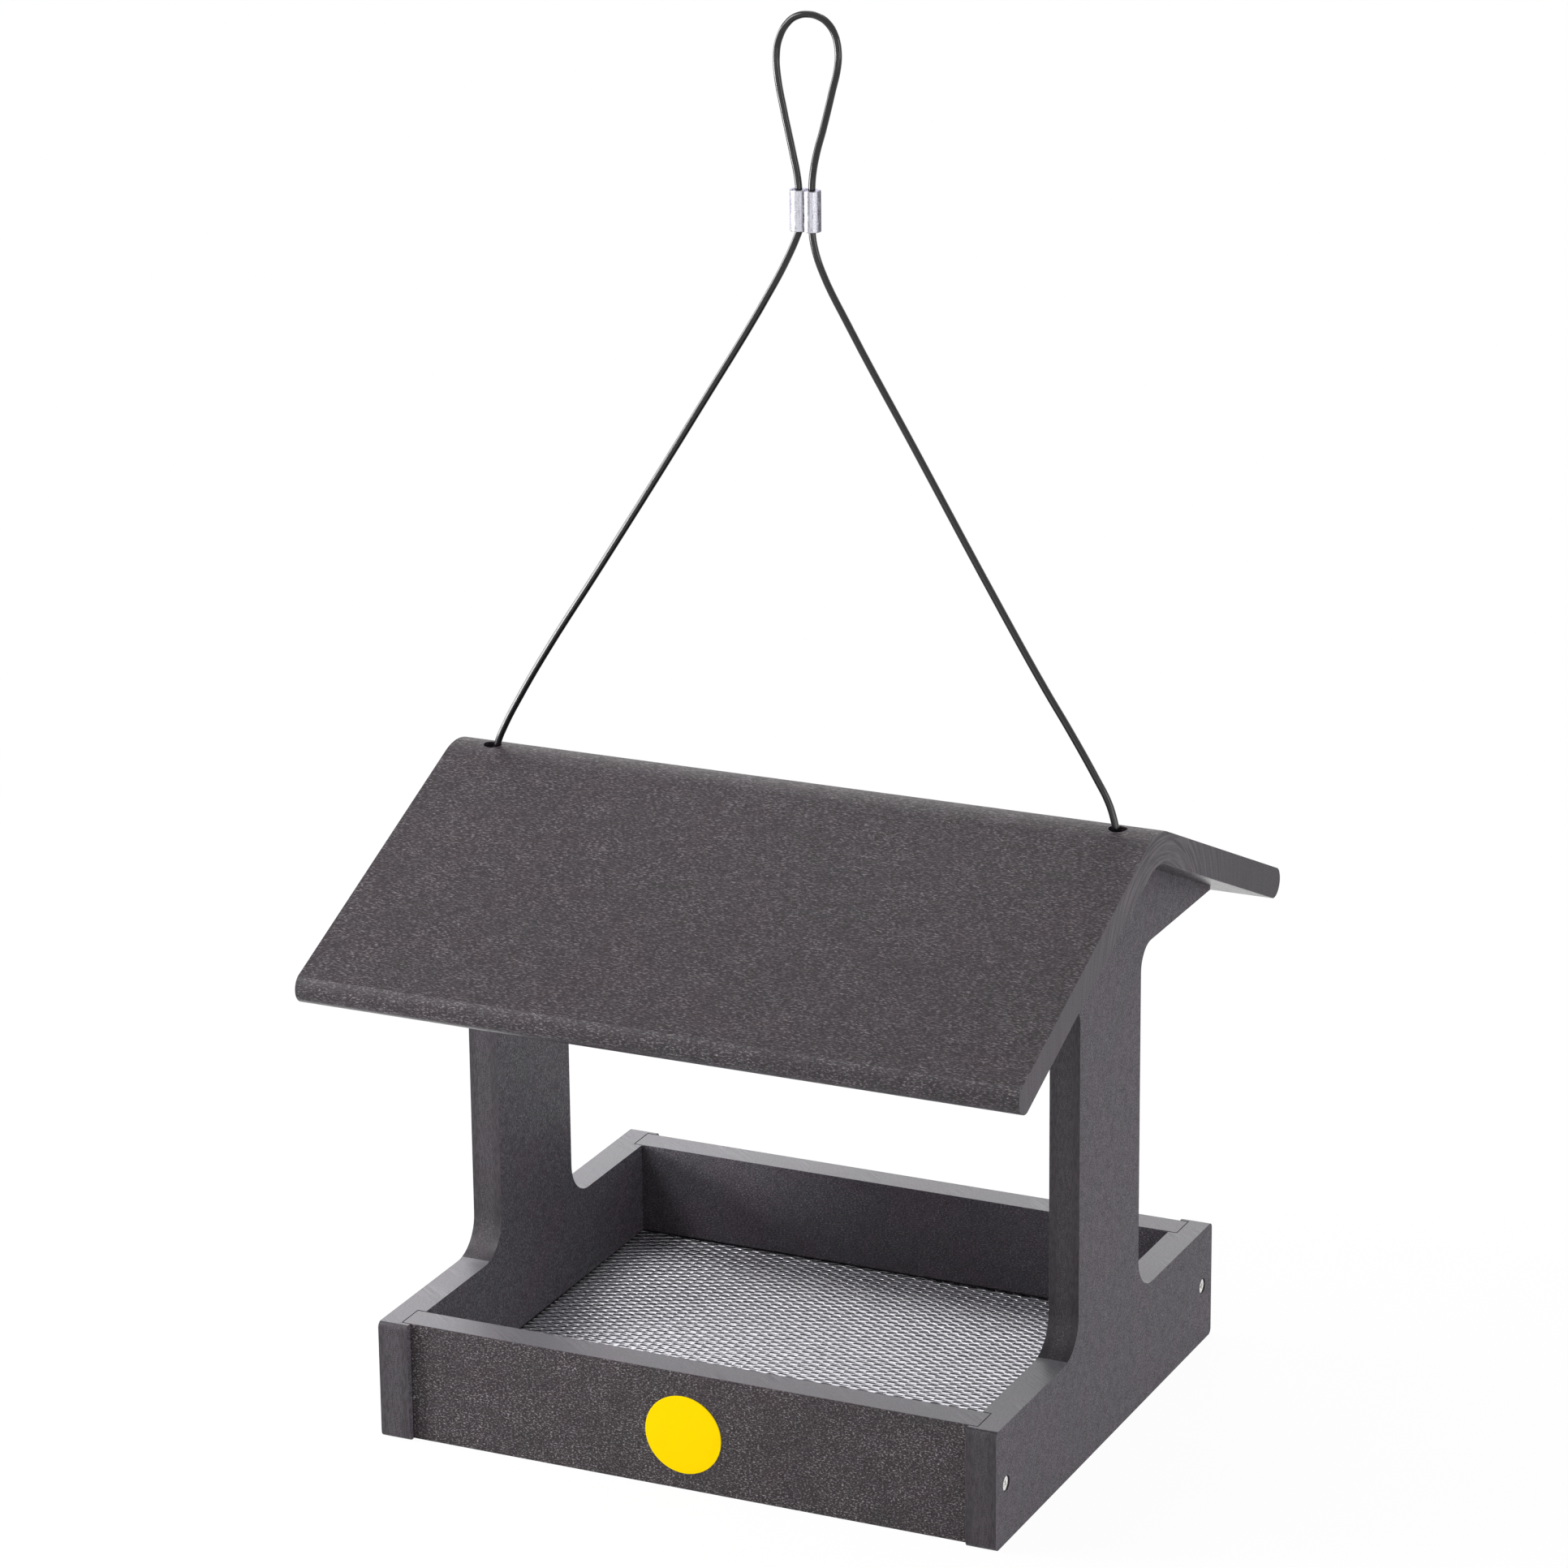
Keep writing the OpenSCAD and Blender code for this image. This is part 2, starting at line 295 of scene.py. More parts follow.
def lumber(name, base, light, stretch, amount, relief, rough=(0.42, 0.6), shine=0.4):
    material, tree, shader, place = newMaterial(name)
    marks = useGroup(tree, flecks, {"Vector": place, "Stretch": stretch, "Amount": amount,
                                    "Patchiness": fleckLook["patchiness"]})
    color = tinted(tree, place, base, tintLook["lumberDrift"])
    warmer = tuple(part * share for part, share in zip(light, fleckLook["lightHue"]))
    bright = mixColor(tree, marks["Hue"], light, warmer)
    color = mixColor(tree, marks["Fleck"], between(tree, marks["Shade"], color, 0.5, 1.3), bright)
    gloss = remap(tree, marks["Shade"], 0.0, 1.0, rough[1], rough[0])
    finish(tree, shader, color, gloss, marks["Height"], relief, shine)
    return material


brushedRoof, brushedBoard, paintedLightInnerBoard, paintedLightInnerFrame, sandedFrame, brushedNose, planedUnder, paintedEdgeHighlight = (
    lumber(name, **look) for name, look in lumberLooks.items())

cutLooks = dict(
    sawnTone=tone(106, 104, 109),     # smooth cut tops of the tray
    sawAngle=38,                      # degrees that the saw's marks are turned
    foamTone=tone(60, 57, 61),        # narrow edges: skins on both sides, a speckled core between
    foamSpeck=tone(124, 119, 125),
    frameMiddle=158.55 * mm,          # where the middle of an end frame's thickness lies
    coreHalf=(2.8 * mm, 5.0 * mm),    # the core fades out between these
    roofEndTone=tone(59, 54, 61),     # saw-cut ends of the roof
    ringHeight=0.262,                 # the rings' centre, under the ridge
    rings=520,                        # per metre outwards
    ringTurn=2.0,                     # change along a ring, per radian
    ringFade=(0.02, 0.11),            # from the ridge down the slopes
)


def sawnFace():
    material, tree, shader, place = newMaterial("sawnFace")
    color = tinted(tree, place, cutLooks["sawnTone"], 0.3)
    turn = (0, 0, math.radians(cutLooks["sawAngle"]))
    turned = put(tree, "ShaderNodeMapping", {"Vector": place, "Rotation": turn}).outputs[0]
    lines = noiseOf(tree, stretched(tree, turned, (40, 1300, 40)), 1.0, 2.0, 0.6)
    patch = remap(tree, noiseOf(tree, place, 45, 1.0), 0.5, 0.62)
    lines = times(tree, minus(tree, lines, 0.5), patch)
    grain = noiseOf(tree, place, 1400, 2.0, 0.6)
    shade = plus(tree, times(tree, lines, 1.5), remap(tree, grain, 0.35, 0.65, 0.3, 0.65))
    rough = remap(tree, shade, 0.0, 1.0, 0.48, 0.36)
    finish(tree, shader, between(tree, shade, color, 0.65, 1.35), rough, shade, 0.04, 0.45)
    return material


def foamFace():
    material, tree, shader, place = newMaterial("foamFace")
    across = calc(tree, "ABSOLUTE", axesOf(tree, place)[0])
    side = calc(tree, "ABSOLUTE", minus(tree, across, cutLooks["frameMiddle"]))
    core = minus(tree, 1.0, remap(tree, side, *cutLooks["coreHalf"]))
    grain = noiseOf(tree, place, 2000, 2.0, 0.65)
    drawn = noiseOf(tree, stretched(tree, place, (1500, 1500, 260)), 1.0, 2.0, 0.6)
    specks = times(tree, remap(tree, grain, 0.48, 0.74), remap(tree, core, 0.0, 1.0, 0.15, 0.6))
    base = tinted(tree, place, cutLooks["foamTone"], 0.3)
    skin = between(tree, remap(tree, drawn, 0.35, 0.65), base, 0.75, 1.25)
    color = mixColor(tree, specks, skin, cutLooks["foamSpeck"])
    rough = plus(tree, 0.42, times(tree, core, 0.14))
    finish(tree, shader, color, rough, specks, 0.1, 0.18)
    return material


def roofEnd():
    # curved bands round the ridge that fade down the slopes; painted light and shade make the end
    # lighter at the front and darker towards the rear
    material, tree, shader, place = newMaterial("roofEnd")
    across, height = axesOf(tree, place)[1:3]
    low = minus(tree, height, cutLooks["ringHeight"])
    radius = calc(tree, "SQRT", plus(tree, times(tree, across, across), times(tree, low, low)))
    angle = calc(tree, "ARCTAN2", across, low)
    ringed = joined(tree, times(tree, radius, cutLooks["rings"]),
                    times(tree, angle, cutLooks["ringTurn"]))
    away = calc(tree, "ABSOLUTE", across)
    near = minus(tree, 1.0, remap(tree, away, *cutLooks["ringFade"]))
    bands = minus(tree, noiseOf(tree, ringed, 1.0, 3.0, 0.6), 0.5)
    bands = times(tree, bands, plus(tree, 0.3, near))
    grain = noiseOf(tree, place, 1300, 2.0, 0.6)
    # painted light and shade: lighter towards the front, darker towards the rear
    paintedFrontToRearShade = remap(tree, across, -0.02, 0.16, 0.14, -0.26)
    plain = plus(tree, paintedFrontToRearShade, remap(tree, grain, 0.35, 0.65, 0.25, 0.6))
    shade = plus(tree, times(tree, bands, 2.6), plain)
    base = tinted(tree, place, cutLooks["roofEndTone"], 0.4)
    rough = remap(tree, shade, 0.0, 1.0, 0.58, 0.44)
    finish(tree, shader, between(tree, shade, base, 0.6, 1.5), rough, shade, 0.08, 0.36)
    return material


sawn, foam, roofCut = sawnFace(), foamFace(), roofEnd()

# metals, cable coat and label; scale is in cycles per metre, clean is the share of bare metal
metalLooks = dict(
    expandedAluminium=dict(base=(0.87, 0.86, 0.91, 1), rough=(0.32, 0.45), scale=900, clean=0.88),
    screwSteel=dict(base=(0.88, 0.87, 0.85, 1), rough=(0.2, 0.35), scale=700),
)
sleeveLook = dict(
    bright=(0.52, 0.52, 0.57, 1),
    dark=(0.1, 0.095, 0.115, 1),
    glance=(0.35, 0.35, 0.4, 1),    # tint of the light that it throws back at a flat angle
    paintedShadeAndReflectionStreaks=[            # painted dark reflection and groove shade: place across the sleeve and half width in mm, depth
        (1.4, 2.0, 1.0), (7.3, 2.4, 1.0), (10.6, 1.1, 0.55), (14.6, 1.7, 1.0),
    ],
)
coatLooks = dict(
    cable=(tone(20, 18, 20), tone(30, 28, 31)),
    label=(tone(250, 213, 0), tone(247, 210, 2)),
)


def metal(name, base, rough, scale, relief=0.03, mottle=0.3, clean=1.0):
    material, tree, shader, place = newMaterial(name)
    grain = noiseOf(tree, place, scale, 3.0, 0.6)
    drawn = stretched(tree, place, (scale * 0.25, scale * 2.5, scale))
    scratch = noiseOf(tree, drawn, 1.0, 1.0)
    worn = plus(tree, times(tree, grain, 0.7), times(tree, scratch, 0.3))
    shader.inputs["Metallic"].default_value = clean
    dull = tuple(part * (1 - mottle) for part in base[:3]) + (1,)
    finish(tree, shader, mixColor(tree, remap(tree, worn, 0.35, 0.6), dull, base),
           remap(tree, worn, 0.3, 0.7, rough[0], rough[1]), worn, relief)
    return material


def crimpedMetal():
    # bright aluminium with streaks of painted dark reflection down the sides, painted shade and
    # reflection in the groove, and drawn mottling
    material, tree, shader, place = newMaterial("sleeveAluminium")
    across = axesOf(tree, place)[0]
    paintedShadeAndReflectionStreaks = 0.0
    # painted dark reflection and shade, one band for each streak
    for centre, half, depth in sleeveLook["paintedShadeAndReflectionStreaks"]:
        band = times(tree, bandOf(tree, across, centre * mm, half * mm), depth)
        paintedShadeAndReflectionStreaks = calc(tree, "MAXIMUM", paintedShadeAndReflectionStreaks, band)
    drawn = noiseOf(tree, stretched(tree, place, (1500, 1500, 260)), 1.0, 3.0, 0.65)
    pits = noiseOf(tree, place, 1300, 2.0, 0.6)
    mottle = plus(tree, times(tree, drawn, 0.6), times(tree, pits, 0.4))
    dark = times(tree, paintedShadeAndReflectionStreaks, remap(tree, mottle, 0.4, 0.62, 1.0, 0.5))
    dark = calc(tree, "MAXIMUM", dark, remap(tree, mottle, 0.36, 0.5, 0.45, 0.0))
    shader.inputs["Metallic"].default_value = 1.0
    shader.inputs["Specular Tint"].default_value = sleeveLook["glance"]
    finish(tree, shader, mixColor(tree, dark, sleeveLook["bright"], sleeveLook["dark"]),
           remap(tree, mottle, 0.3, 0.7, 0.22, 0.42), mottle, 0.12)
    return material


def coatedCable():
    material, tree, shader, place = newMaterial("cableCoat")
    grain = noiseOf(tree, place, 500, 2.0, 0.5)
    finish(tree, shader, mixColor(tree, grain, *coatLooks["cable"]),
           remap(tree, grain, 0.3, 0.7, 0.1, 0.16), grain, 0.01, 0.45)
    return material


def vinyl():
    material, tree, shader, place = newMaterial("labelVinyl")
    drift = noiseOf(tree, place, 60, 3.0, 0.55)
    fine = noiseOf(tree, place, 1500, 2.0, 0.5)
    height = plus(tree, drift, times(tree, fine, 0.05))
    finish(tree, shader, mixColor(tree, drift, *coatLooks["label"]),
           remap(tree, fine, 0.3, 0.7, 0.4, 0.5), height, 0.2, 0.02)
    return material


meshMetal, screwMetal = (metal(name, **look) for name, look in metalLooks.items())
sleeveMetal, cableCoat, labelVinyl = crimpedMetal(), coatedCable(), vinyl()
print("materials made")


# finishing a piece
def toPiece(name, mesh, materials):
    piece = bpy.data.objects.new(name, mesh)
    bpy.context.scene.collection.objects.link(piece)
    for material in materials:
        piece.data.materials.append(material)
    return piece


def fromShell(name, shell, materials):
    for face in shell.faces:
        face.smooth = True
    mesh = bpy.data.meshes.new(name)
    shell.to_mesh(mesh)
    shell.free()
    return toPiece(name, mesh, materials)


def roundEdges(piece, width, segments=2):
    bevel = piece.modifiers.new("roundedEdges", "BEVEL")
    bevel.width = width
    bevel.segments = segments
    bevel.limit_method = "ANGLE"
    return bevel


def keepFlat(piece):
    piece.modifiers.new("flatFaces", "WEIGHTED_NORMAL").keep_sharp = False


def freeze(piece):
    # the evaluated shape becomes the piece's own mesh
    bpy.context.view_layer.update()
    graph = bpy.context.evaluated_depsgraph_get()
    shape = piece.evaluated_get(graph)
    mesh = bpy.data.meshes.new_from_object(shape, preserve_all_data_layers=True, depsgraph=graph)
    mesh.name = piece.name
    piece.modifiers.clear()
    piece.data = mesh


def declare(piece, node):
    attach(piece, "root")
    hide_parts(node)


def realWith(tree, shape, material):
    real = put(tree, "GeometryNodeRealizeInstances", {"Geometry": shape}).outputs[0]
    return put(tree, "GeometryNodeSetMaterial", {"Geometry": real, "Material": material}).outputs[0]


def setInputs(modifier, values):
    for item in modifier.node_group.interface.items_tree:
        if item.item_type == "SOCKET" and item.in_out == "INPUT" and item.name in values:
            modifier[item.identifier] = values[item.name]


# cable
cable = dict(
    diameter=0.0035,
    route=[              # x and z, from the left head over the loop to the right head
        (-0.139, 0.277), (-0.161, 0.277), (-0.1676, 0.278), (-0.1718, 0.2805), (-0.174, 0.2845),
        (-0.1739, 0.2895), (-0.1722, 0.296), (-0.1702, 0.3035), (-0.1684, 0.312), (-0.1667, 0.321),
        (-0.1622, 0.3315), (-0.1537, 0.347), (-0.137, 0.3745), (-0.107, 0.42), (-0.05, 0.5083),
        (-0.01, 0.5725), (-0.0017, 0.588), (0.0023, 0.5968), (0.0035, 0.6), (0.0035, 0.62),
        (0.0026, 0.6275), (0.0004, 0.638), (-0.0041, 0.6583), (-0.0071, 0.674), (-0.0076, 0.683),
        (-0.006, 0.692), (-0.001, 0.7002), (0.0035, 0.7033), (0.0093, 0.7045), (0.0148, 0.7036),
        (0.0195, 0.7007), (0.023, 0.6955), (0.0246, 0.688), (0.0242, 0.68), (0.0215, 0.669),
        (0.0163, 0.6493), (0.0131, 0.6385), (0.011, 0.6283), (0.0103, 0.62), (0.0103, 0.6),
        (0.0112, 0.5933), (0.0153, 0.581), (0.0287, 0.5562), (0.0626, 0.4995), (0.1078, 0.424),
        (0.1314, 0.386), (0.144, 0.367), (0.1583, 0.344), (0.1642, 0.3335), (0.1673, 0.3245),
        (0.1685, 0.3185), (0.1689, 0.311), (0.1702, 0.3035), (0.1722, 0.296), (0.1739, 0.2895),
        (0.174, 0.2845), (0.1718, 0.2805), (0.1676, 0.278), (0.161, 0.277), (0.139, 0.277),
    ],
)


def makeCable():
    curve = bpy.data.curves.new("hangerCable", "CURVE")
    curve.dimensions = "3D"
    curve.bevel_depth = cable["diameter"] / 2
    curve.bevel_resolution = 6
    curve.resolution_u = 5
    curve.use_fill_caps = True
    spline = curve.splines.new("BEZIER")
    spline.bezier_points.add(len(cable["route"]) - 1)
    for point, (x, z) in zip(spline.bezier_points, cable["route"]):
        point.co = (x, 0, z)
        point.handle_left_type = point.handle_right_type = "AUTO"
    piece = toPiece("hangerCable", curve, [cableCoat])
    declare(piece, "hanger_cable")
    return piece


hangerCable = makeCable()
print("cable made")


# pieces that keep the construction's shape, with rounded edges
edges = dict(
    frames=1.3 * mm,
    boards=0.45 * mm,
    roof=0.45 * mm,
    screws=0.35 * mm,
    sleeve=0.6 * mm,
)

# which face gets which skin: limits on its normal, heights and depths in metres
faceLimits = dict(
    sideways=0.8,
    level=0.96,
    upward=0.7,
    downward=-0.5,
    trayTop=0.09,        # level cuts below this height are the tray's
    noseTop=0.262,       # the bull nose lies below this height
    noseFrom=0.16,       # and this far from the ridge or farther
)


def cadShape(node):
    shell = bmesh.new()
    shell.from_mesh(nodes[node].data)
    bmesh.ops.remove_doubles(shell, verts=shell.verts, dist=0.002 * mm)
    bmesh.ops.dissolve_limit(shell, angle_limit=math.radians(0.6), verts=shell.verts,
                             edges=shell.edges, use_dissolve_boundaries=False)
    shell.normal_update()
    return shell


def dress(name, node, materials, width, pick=None, angle=25, segments=2):
    # the last of the materials goes to the rounded edges
    shell = cadShape(node)
    for face in shell.faces:
        face.material_index = pick(face.normal, face.calc_center_median()) if pick else 0
    piece = fromShell(name, shell, materials)
    bevel = roundEdges(piece, width, segments)
    bevel.angle_limit = math.radians(angle)
    bevel.material = len(materials) - 1
    bevel.miter_outer = "MITER_ARC"
    keepFlat(piece)
    freeze(piece)
    declare(piece, node)
    return piece


def pickFrame(normal, centre):
    if abs(normal.x) > faceLimits["sideways"]:
        # the inner face takes the lighter copy with painted light
        return 3 if normal.x * centre.x < 0 else 0
    level = normal.z > faceLimits["level"] and centre.z < faceLimits["trayTop"]
    return 1 if level else 2


def pickBoard(normal, centre):
    return 1 if normal.z > faceLimits["upward"] else 0


def pickRoof(normal, centre):
    if abs(normal.x) > faceLimits["sideways"]:
        return 1
    if normal.z < faceLimits["downward"]:
        return 3
    nose = centre.z < faceLimits["noseTop"] and abs(centre.y) > faceLimits["noseFrom"]
    return 2 if nose else 0


# the inner faces take lighter copies of the lumber with painted light, and the rounded edges of the
# lumber take a painted highlight
frameSkins = [sandedFrame, sawn, foam, paintedLightInnerFrame, paintedEdgeHighlight]
boardSkins = [brushedBoard, sawn, paintedEdgeHighlight]
rearSkins = [paintedLightInnerBoard, sawn, paintedEdgeHighlight]
roofSkins = [brushedRoof, roofCut, brushedNose, planedUnder, paintedEdgeHighlight]
dress("leftEndFrame", "left_end_frame", frameSkins, edges["frames"], pickFrame)
dress("rightEndFrame", "right_end_frame", frameSkins, edges["frames"], pickFrame)
dress("frontBoard", "front_board", boardSkins, edges["boards"], pickBoard)
dress("rearBoard", "rear_board", rearSkins, edges["boards"], pickBoard)
dress("pitchedRoof", "roof", roofSkins, edges["roof"], pickRoof)
sleevePiece = dress("crimpSleeve", "crimp_sleeve", [sleeveMetal], edges["sleeve"],
                    angle=35, segments=3)
for stop in ("left_cable_stop", "right_cable_stop"):
    for socket in nodes[stop].material_slots:
        socket.material = sleeveMetal
print("lumber dressed")


# expanded-metal floor
expandedFloor = dict(
    longPitch=10 * mm,
    shortPitch=4.93 * mm,
    bond=2.9 * mm,       # length of a bond along the rows
    strandWidth=1.16 * mm,
    bondTilt=14,         # degrees that the bonds lean to the front
    strandTilt=-1,
    thickness=0.35 * mm,
    turn=0.3,            # degrees that the cut sheet is off square
    rippleHeight=0.25 * mm,
    rippleScales=(14.0, 260.0),    # slow and quick ripples, in cycles per metre
    quickShare=0.6,      # height of the quick ripples against the slow ones
    inset=(0.8 * mm, 0.5 * mm),    # how far the sheet ends inside the source's, in X and Y
    weld=0.02 * mm,
)
halfSteps = 4            # columns of the grid for half a diamond: the bond and three for the strand


def floorTree(columns, rows):
    tree, given, result = newGroup("expandedSheet", {
        "Float": ["Long Pitch", "Short Pitch", "Bond", "Strand Width", "Bond Tilt", "Strand Tilt",
                  "Thickness", "Turn", "Ripple", "Half Length", "Half Depth", "Height"],
        "Material": ["Material"],
    }, {"Geometry": ["Geometry"]}, "GeometryNodeTree")

    def above(value, limit):
        return put(tree, "FunctionNodeCompare", {0: value, 1: limit},
                   operation="GREATER_THAN").outputs[0]

    def without(sheet, faces):
        return put(tree, "GeometryNodeDeleteGeometry", {"Geometry": sheet, "Selection": faces},
                   domain="FACE").outputs[0]

    def welded(sheet):
        return put(tree, "GeometryNodeMergeByDistance", {
            "Geometry": sheet, "Distance": expandedFloor["weld"]}).outputs[0]

    # a grid of strips, with two edges for each strand
    grid = put(tree, "GeometryNodeMeshGrid", {
        "Size X": columns - 1.0, "Size Y": rows - 1.0,
        "Vertices X": columns, "Vertices Y": rows}).outputs["Mesh"]
    here = axesOf(tree, put(tree, "GeometryNodeInputPosition").outputs[0])
    across = plus(tree, here[0], (columns - 1) / 2)
    along = plus(tree, here[1], (rows - 1) / 2)
    gaps = above(calc(tree, "MODULO", calc(tree, "FLOOR", along), 2.0), 0.5)
    strips = without(grid, gaps)
    # along a strand: a straight bond, then an eased step to the next row; the quarters that are
    # added keep a whole number from being rounded down
    column, row = calc(tree, "ROUND", across), calc(tree, "ROUND", along)
    half = calc(tree, "FLOOR", calc(tree, "DIVIDE", plus(tree, column, 0.25), halfSteps))
    step = minus(tree, column, times(tree, half, halfSteps))
    halfPitch = times(tree, given["Long Pitch"], 0.5)
    slope = calc(tree, "DIVIDE", minus(tree, halfPitch, given["Bond"]), halfSteps - 1)
    beyond = calc(tree, "MAXIMUM", minus(tree, step, 1.0), 0.0)
    flat = times(tree, calc(tree, "MINIMUM", step, 1.0), given["Bond"])
    x = plus(tree, flat, times(tree, beyond, slope))
    x = plus(tree, x, times(tree, half, halfPitch))
    x = minus(tree, x, times(tree, given["Long Pitch"], (columns - 1) / (4 * halfSteps)))
    share = calc(tree, "DIVIDE", beyond, halfSteps - 1)
    fall = minus(tree, 3.0, times(tree, share, 2.0))
    ease = times(tree, times(tree, share, share), fall)
    ribbon = calc(tree, "FLOOR", calc(tree, "DIVIDE", plus(tree, row, 0.25), 2.0))
    edge = minus(tree, minus(tree, row, times(tree, ribbon, 2.0)), 0.5)
    odd = calc(tree, "MODULO", plus(tree, half, ribbon), 2.0)
    sign = minus(tree, 1.0, times(tree, odd, 2.0))
    wave = times(tree, sign, minus(tree, 1.0, times(tree, ease, 2.0)))
    # the strands twist from the bonds' tilt to their own
    middle = times(tree, times(tree, ease, minus(tree, 1.0, ease)), 4.0)
    twist = minus(tree, given["Strand Tilt"], given["Bond Tilt"])
    tilt = plus(tree, given["Bond Tilt"], times(tree, middle, twist))
    rise = times(tree, given["Strand Width"], calc(tree, "SINE", tilt))
    halfShort = times(tree, given["Short Pitch"], 0.5)
    reach = times(tree, minus(tree, halfShort, given["Strand Width"]), 0.5)
    y = times(tree, minus(tree, ribbon, (rows / 2 - 1) / 2), halfShort)
    y = plus(tree, plus(tree, y, times(tree, reach, wave)), times(tree, edge, given["Strand Width"]))
    z = times(tree, minus(tree, edge, times(tree, wave, 0.5)), rise)
    spot = joined(tree, x, y, plus(tree, z, given["Height"]))
    sheet = put(tree, "GeometryNodeSetPosition", {"Geometry": strips, "Position": spot}).outputs[0]
    sheet = welded(sheet)
    # the sheet is turned, trimmed to the tray and rippled
    turned = joined(tree, z=given["Turn"])
    sheet = put(tree, "GeometryNodeTransform", {"Geometry": sheet, "Rotation": turned}).outputs[0]
    place = put(tree, "GeometryNodeInputPosition").outputs[0]
    centre = axesOf(tree, place)
    past = [minus(tree, calc(tree, "ABSOLUTE", centre[axis]), given[limit])
            for axis, limit in enumerate(("Half Length", "Half Depth"))]
    sheet = without(sheet, above(calc(tree, "MAXIMUM", *past), 0.0))
    slow, quick = (minus(tree, noiseOf(tree, place, scale, 1.0), 0.5)
                   for scale in expandedFloor["rippleScales"])
    ripple = plus(tree, slow, times(tree, quick, expandedFloor["quickShare"]))
    lift = joined(tree, z=times(tree, ripple, given["Ripple"]))
    sheet = put(tree, "GeometryNodeSetPosition", {"Geometry": sheet, "Offset": lift}).outputs[0]
    # it gets its thickness: a raised copy, the turned-over sheet and the walls between, welded
    raised = put(tree, "GeometryNodeExtrudeMesh", {
        "Mesh": sheet, "Offset": joined(tree, z=1.0), "Offset Scale": given["Thickness"],
        "Individual": False}).outputs["Mesh"]
    both = put(tree, "GeometryNodeJoinGeometry")
    tree.links.new(raised, both.inputs[0])
    tree.links.new(put(tree, "GeometryNodeFlipFaces", {"Mesh": sheet}).outputs[0], both.inputs[0])
    closed = welded(both.outputs[0])
    smooth = put(tree, "GeometryNodeSetShadeSmooth", {
        "Geometry": closed, "Shade Smooth": True}).outputs[0]
    tree.links.new(realWith(tree, smooth, given["Material"]), result["Geometry"])
    return tree


def makeFloor():
    low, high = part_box("mesh_floor")
    sheet = expandedFloor
    periods = math.ceil((high.x - low.x) / sheet["longPitch"]) + 1
    ribbons = math.ceil((high.y - low.y) / (sheet["shortPitch"] / 2)) + 2
    piece = toPiece("expandedFloor", bpy.data.meshes.new("expandedFloor"), [])
    modifier = piece.modifiers.new("expandedSheet", "NODES")
    modifier.node_group = floorTree(periods * 2 * halfSteps + 1, ribbons * 2)
    setInputs(modifier, {
        "Long Pitch": sheet["longPitch"], "Short Pitch": sheet["shortPitch"],
        "Bond": sheet["bond"], "Strand Width": sheet["strandWidth"],
        "Bond Tilt": math.radians(sheet["bondTilt"]), "Strand Tilt": math.radians(sheet["strandTilt"]),
        "Thickness": sheet["thickness"], "Turn": math.radians(sheet["turn"]),
        "Ripple": sheet["rippleHeight"],
        "Half Length": high.x - sheet["inset"][0], "Half Depth": high.y - sheet["inset"][1],
        "Height": (low.z + high.z) / 2 - sheet["thickness"] / 2, "Material": meshMetal,
    })
    freeze(piece)
    declare(piece, "mesh_floor")
    print("floor made,", sum(len(p.vertices) - 2 for p in piece.data.polygons), "triangles")


makeFloor()


# four screws alike, placed by their heads
screwSpin = dict(seed=4, turn=0.9)


def screwTree():
    tree, given, result = newGroup("screwPlaces", {
        "Geometry": ["Screw"], "Float": ["Half Length", "Half Depth", "Height", "Turn"],
        "Int": ["Seed"], "Material": ["Material"],
    }, {"Geometry": ["Geometry"]}, "GeometryNodeTree")
    index = put(tree, "GeometryNodeInputIndex").outputs[0]
    left = calc(tree, "FLOOR", times(tree, index, 0.5))
    rear = calc(tree, "MODULO", index, 2.0)
    x = times(tree, given["Half Length"], minus(tree, 1.0, times(tree, left, 2.0)))
    y = times(tree, given["Half Depth"], minus(tree, times(tree, rear, 2.0), 1.0))
    spot = joined(tree, x, y, given["Height"])
    points = put(tree, "GeometryNodePoints", {"Count": 4, "Position": spot}).outputs[0]
    spin = put(tree, "FunctionNodeRandomValue", {
        2: 0.0, 3: given["Turn"], "Seed": given["Seed"]}).outputs[1]
    turned = joined(tree, spin, 0.0, times(tree, left, math.pi))
    placed = put(tree, "GeometryNodeInstanceOnPoints", {
        "Points": points, "Instance": given["Screw"], "Rotation": turned}).outputs[0]
    tree.links.new(realWith(tree, placed, given["Material"]), result["Geometry"])
    return tree


def makeScrews():
    # one of the source's screws is kept, centred on its head, and set at each place
    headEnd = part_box("tray_screws")[1].x
    shell = cadShape("tray_screws")
    others = [v for v in shell.verts if v.co.x < 0 or v.co.y > 0]
    bmesh.ops.delete(shell, geom=others, context="VERTS")
    depths = [v.co.y for v in shell.verts]
    heights = [v.co.z for v in shell.verts]
    middle = Vector((headEnd, (min(depths) + max(depths)) / 2, (min(heights) + max(heights)) / 2))
    bmesh.ops.translate(shell, verts=shell.verts, vec=-middle)
    piece = fromShell("trayScrews", shell, [screwMetal])
    roundEdges(piece, edges["screws"])
    keepFlat(piece)
    modifier = piece.modifiers.new("screwPlaces", "NODES")
    modifier.node_group = screwTree()
    setInputs(modifier, {"Half Length": middle.x, "Half Depth": -middle.y, "Height": middle.z,
                         "Turn": screwSpin["turn"], "Seed": screwSpin["seed"], "Material": screwMetal})
    freeze(piece)
    declare(piece, "tray_screws")


makeScrews()


# round label
labelShape = dict(
    sides=96,
    rim=[                # how far in from the edge, and the depth as a share of the thickness
        (0.25 * mm, 0.0), (0.08 * mm, 0.25), (0.0, 0.65), (0.0, 1.0),
    ],
)


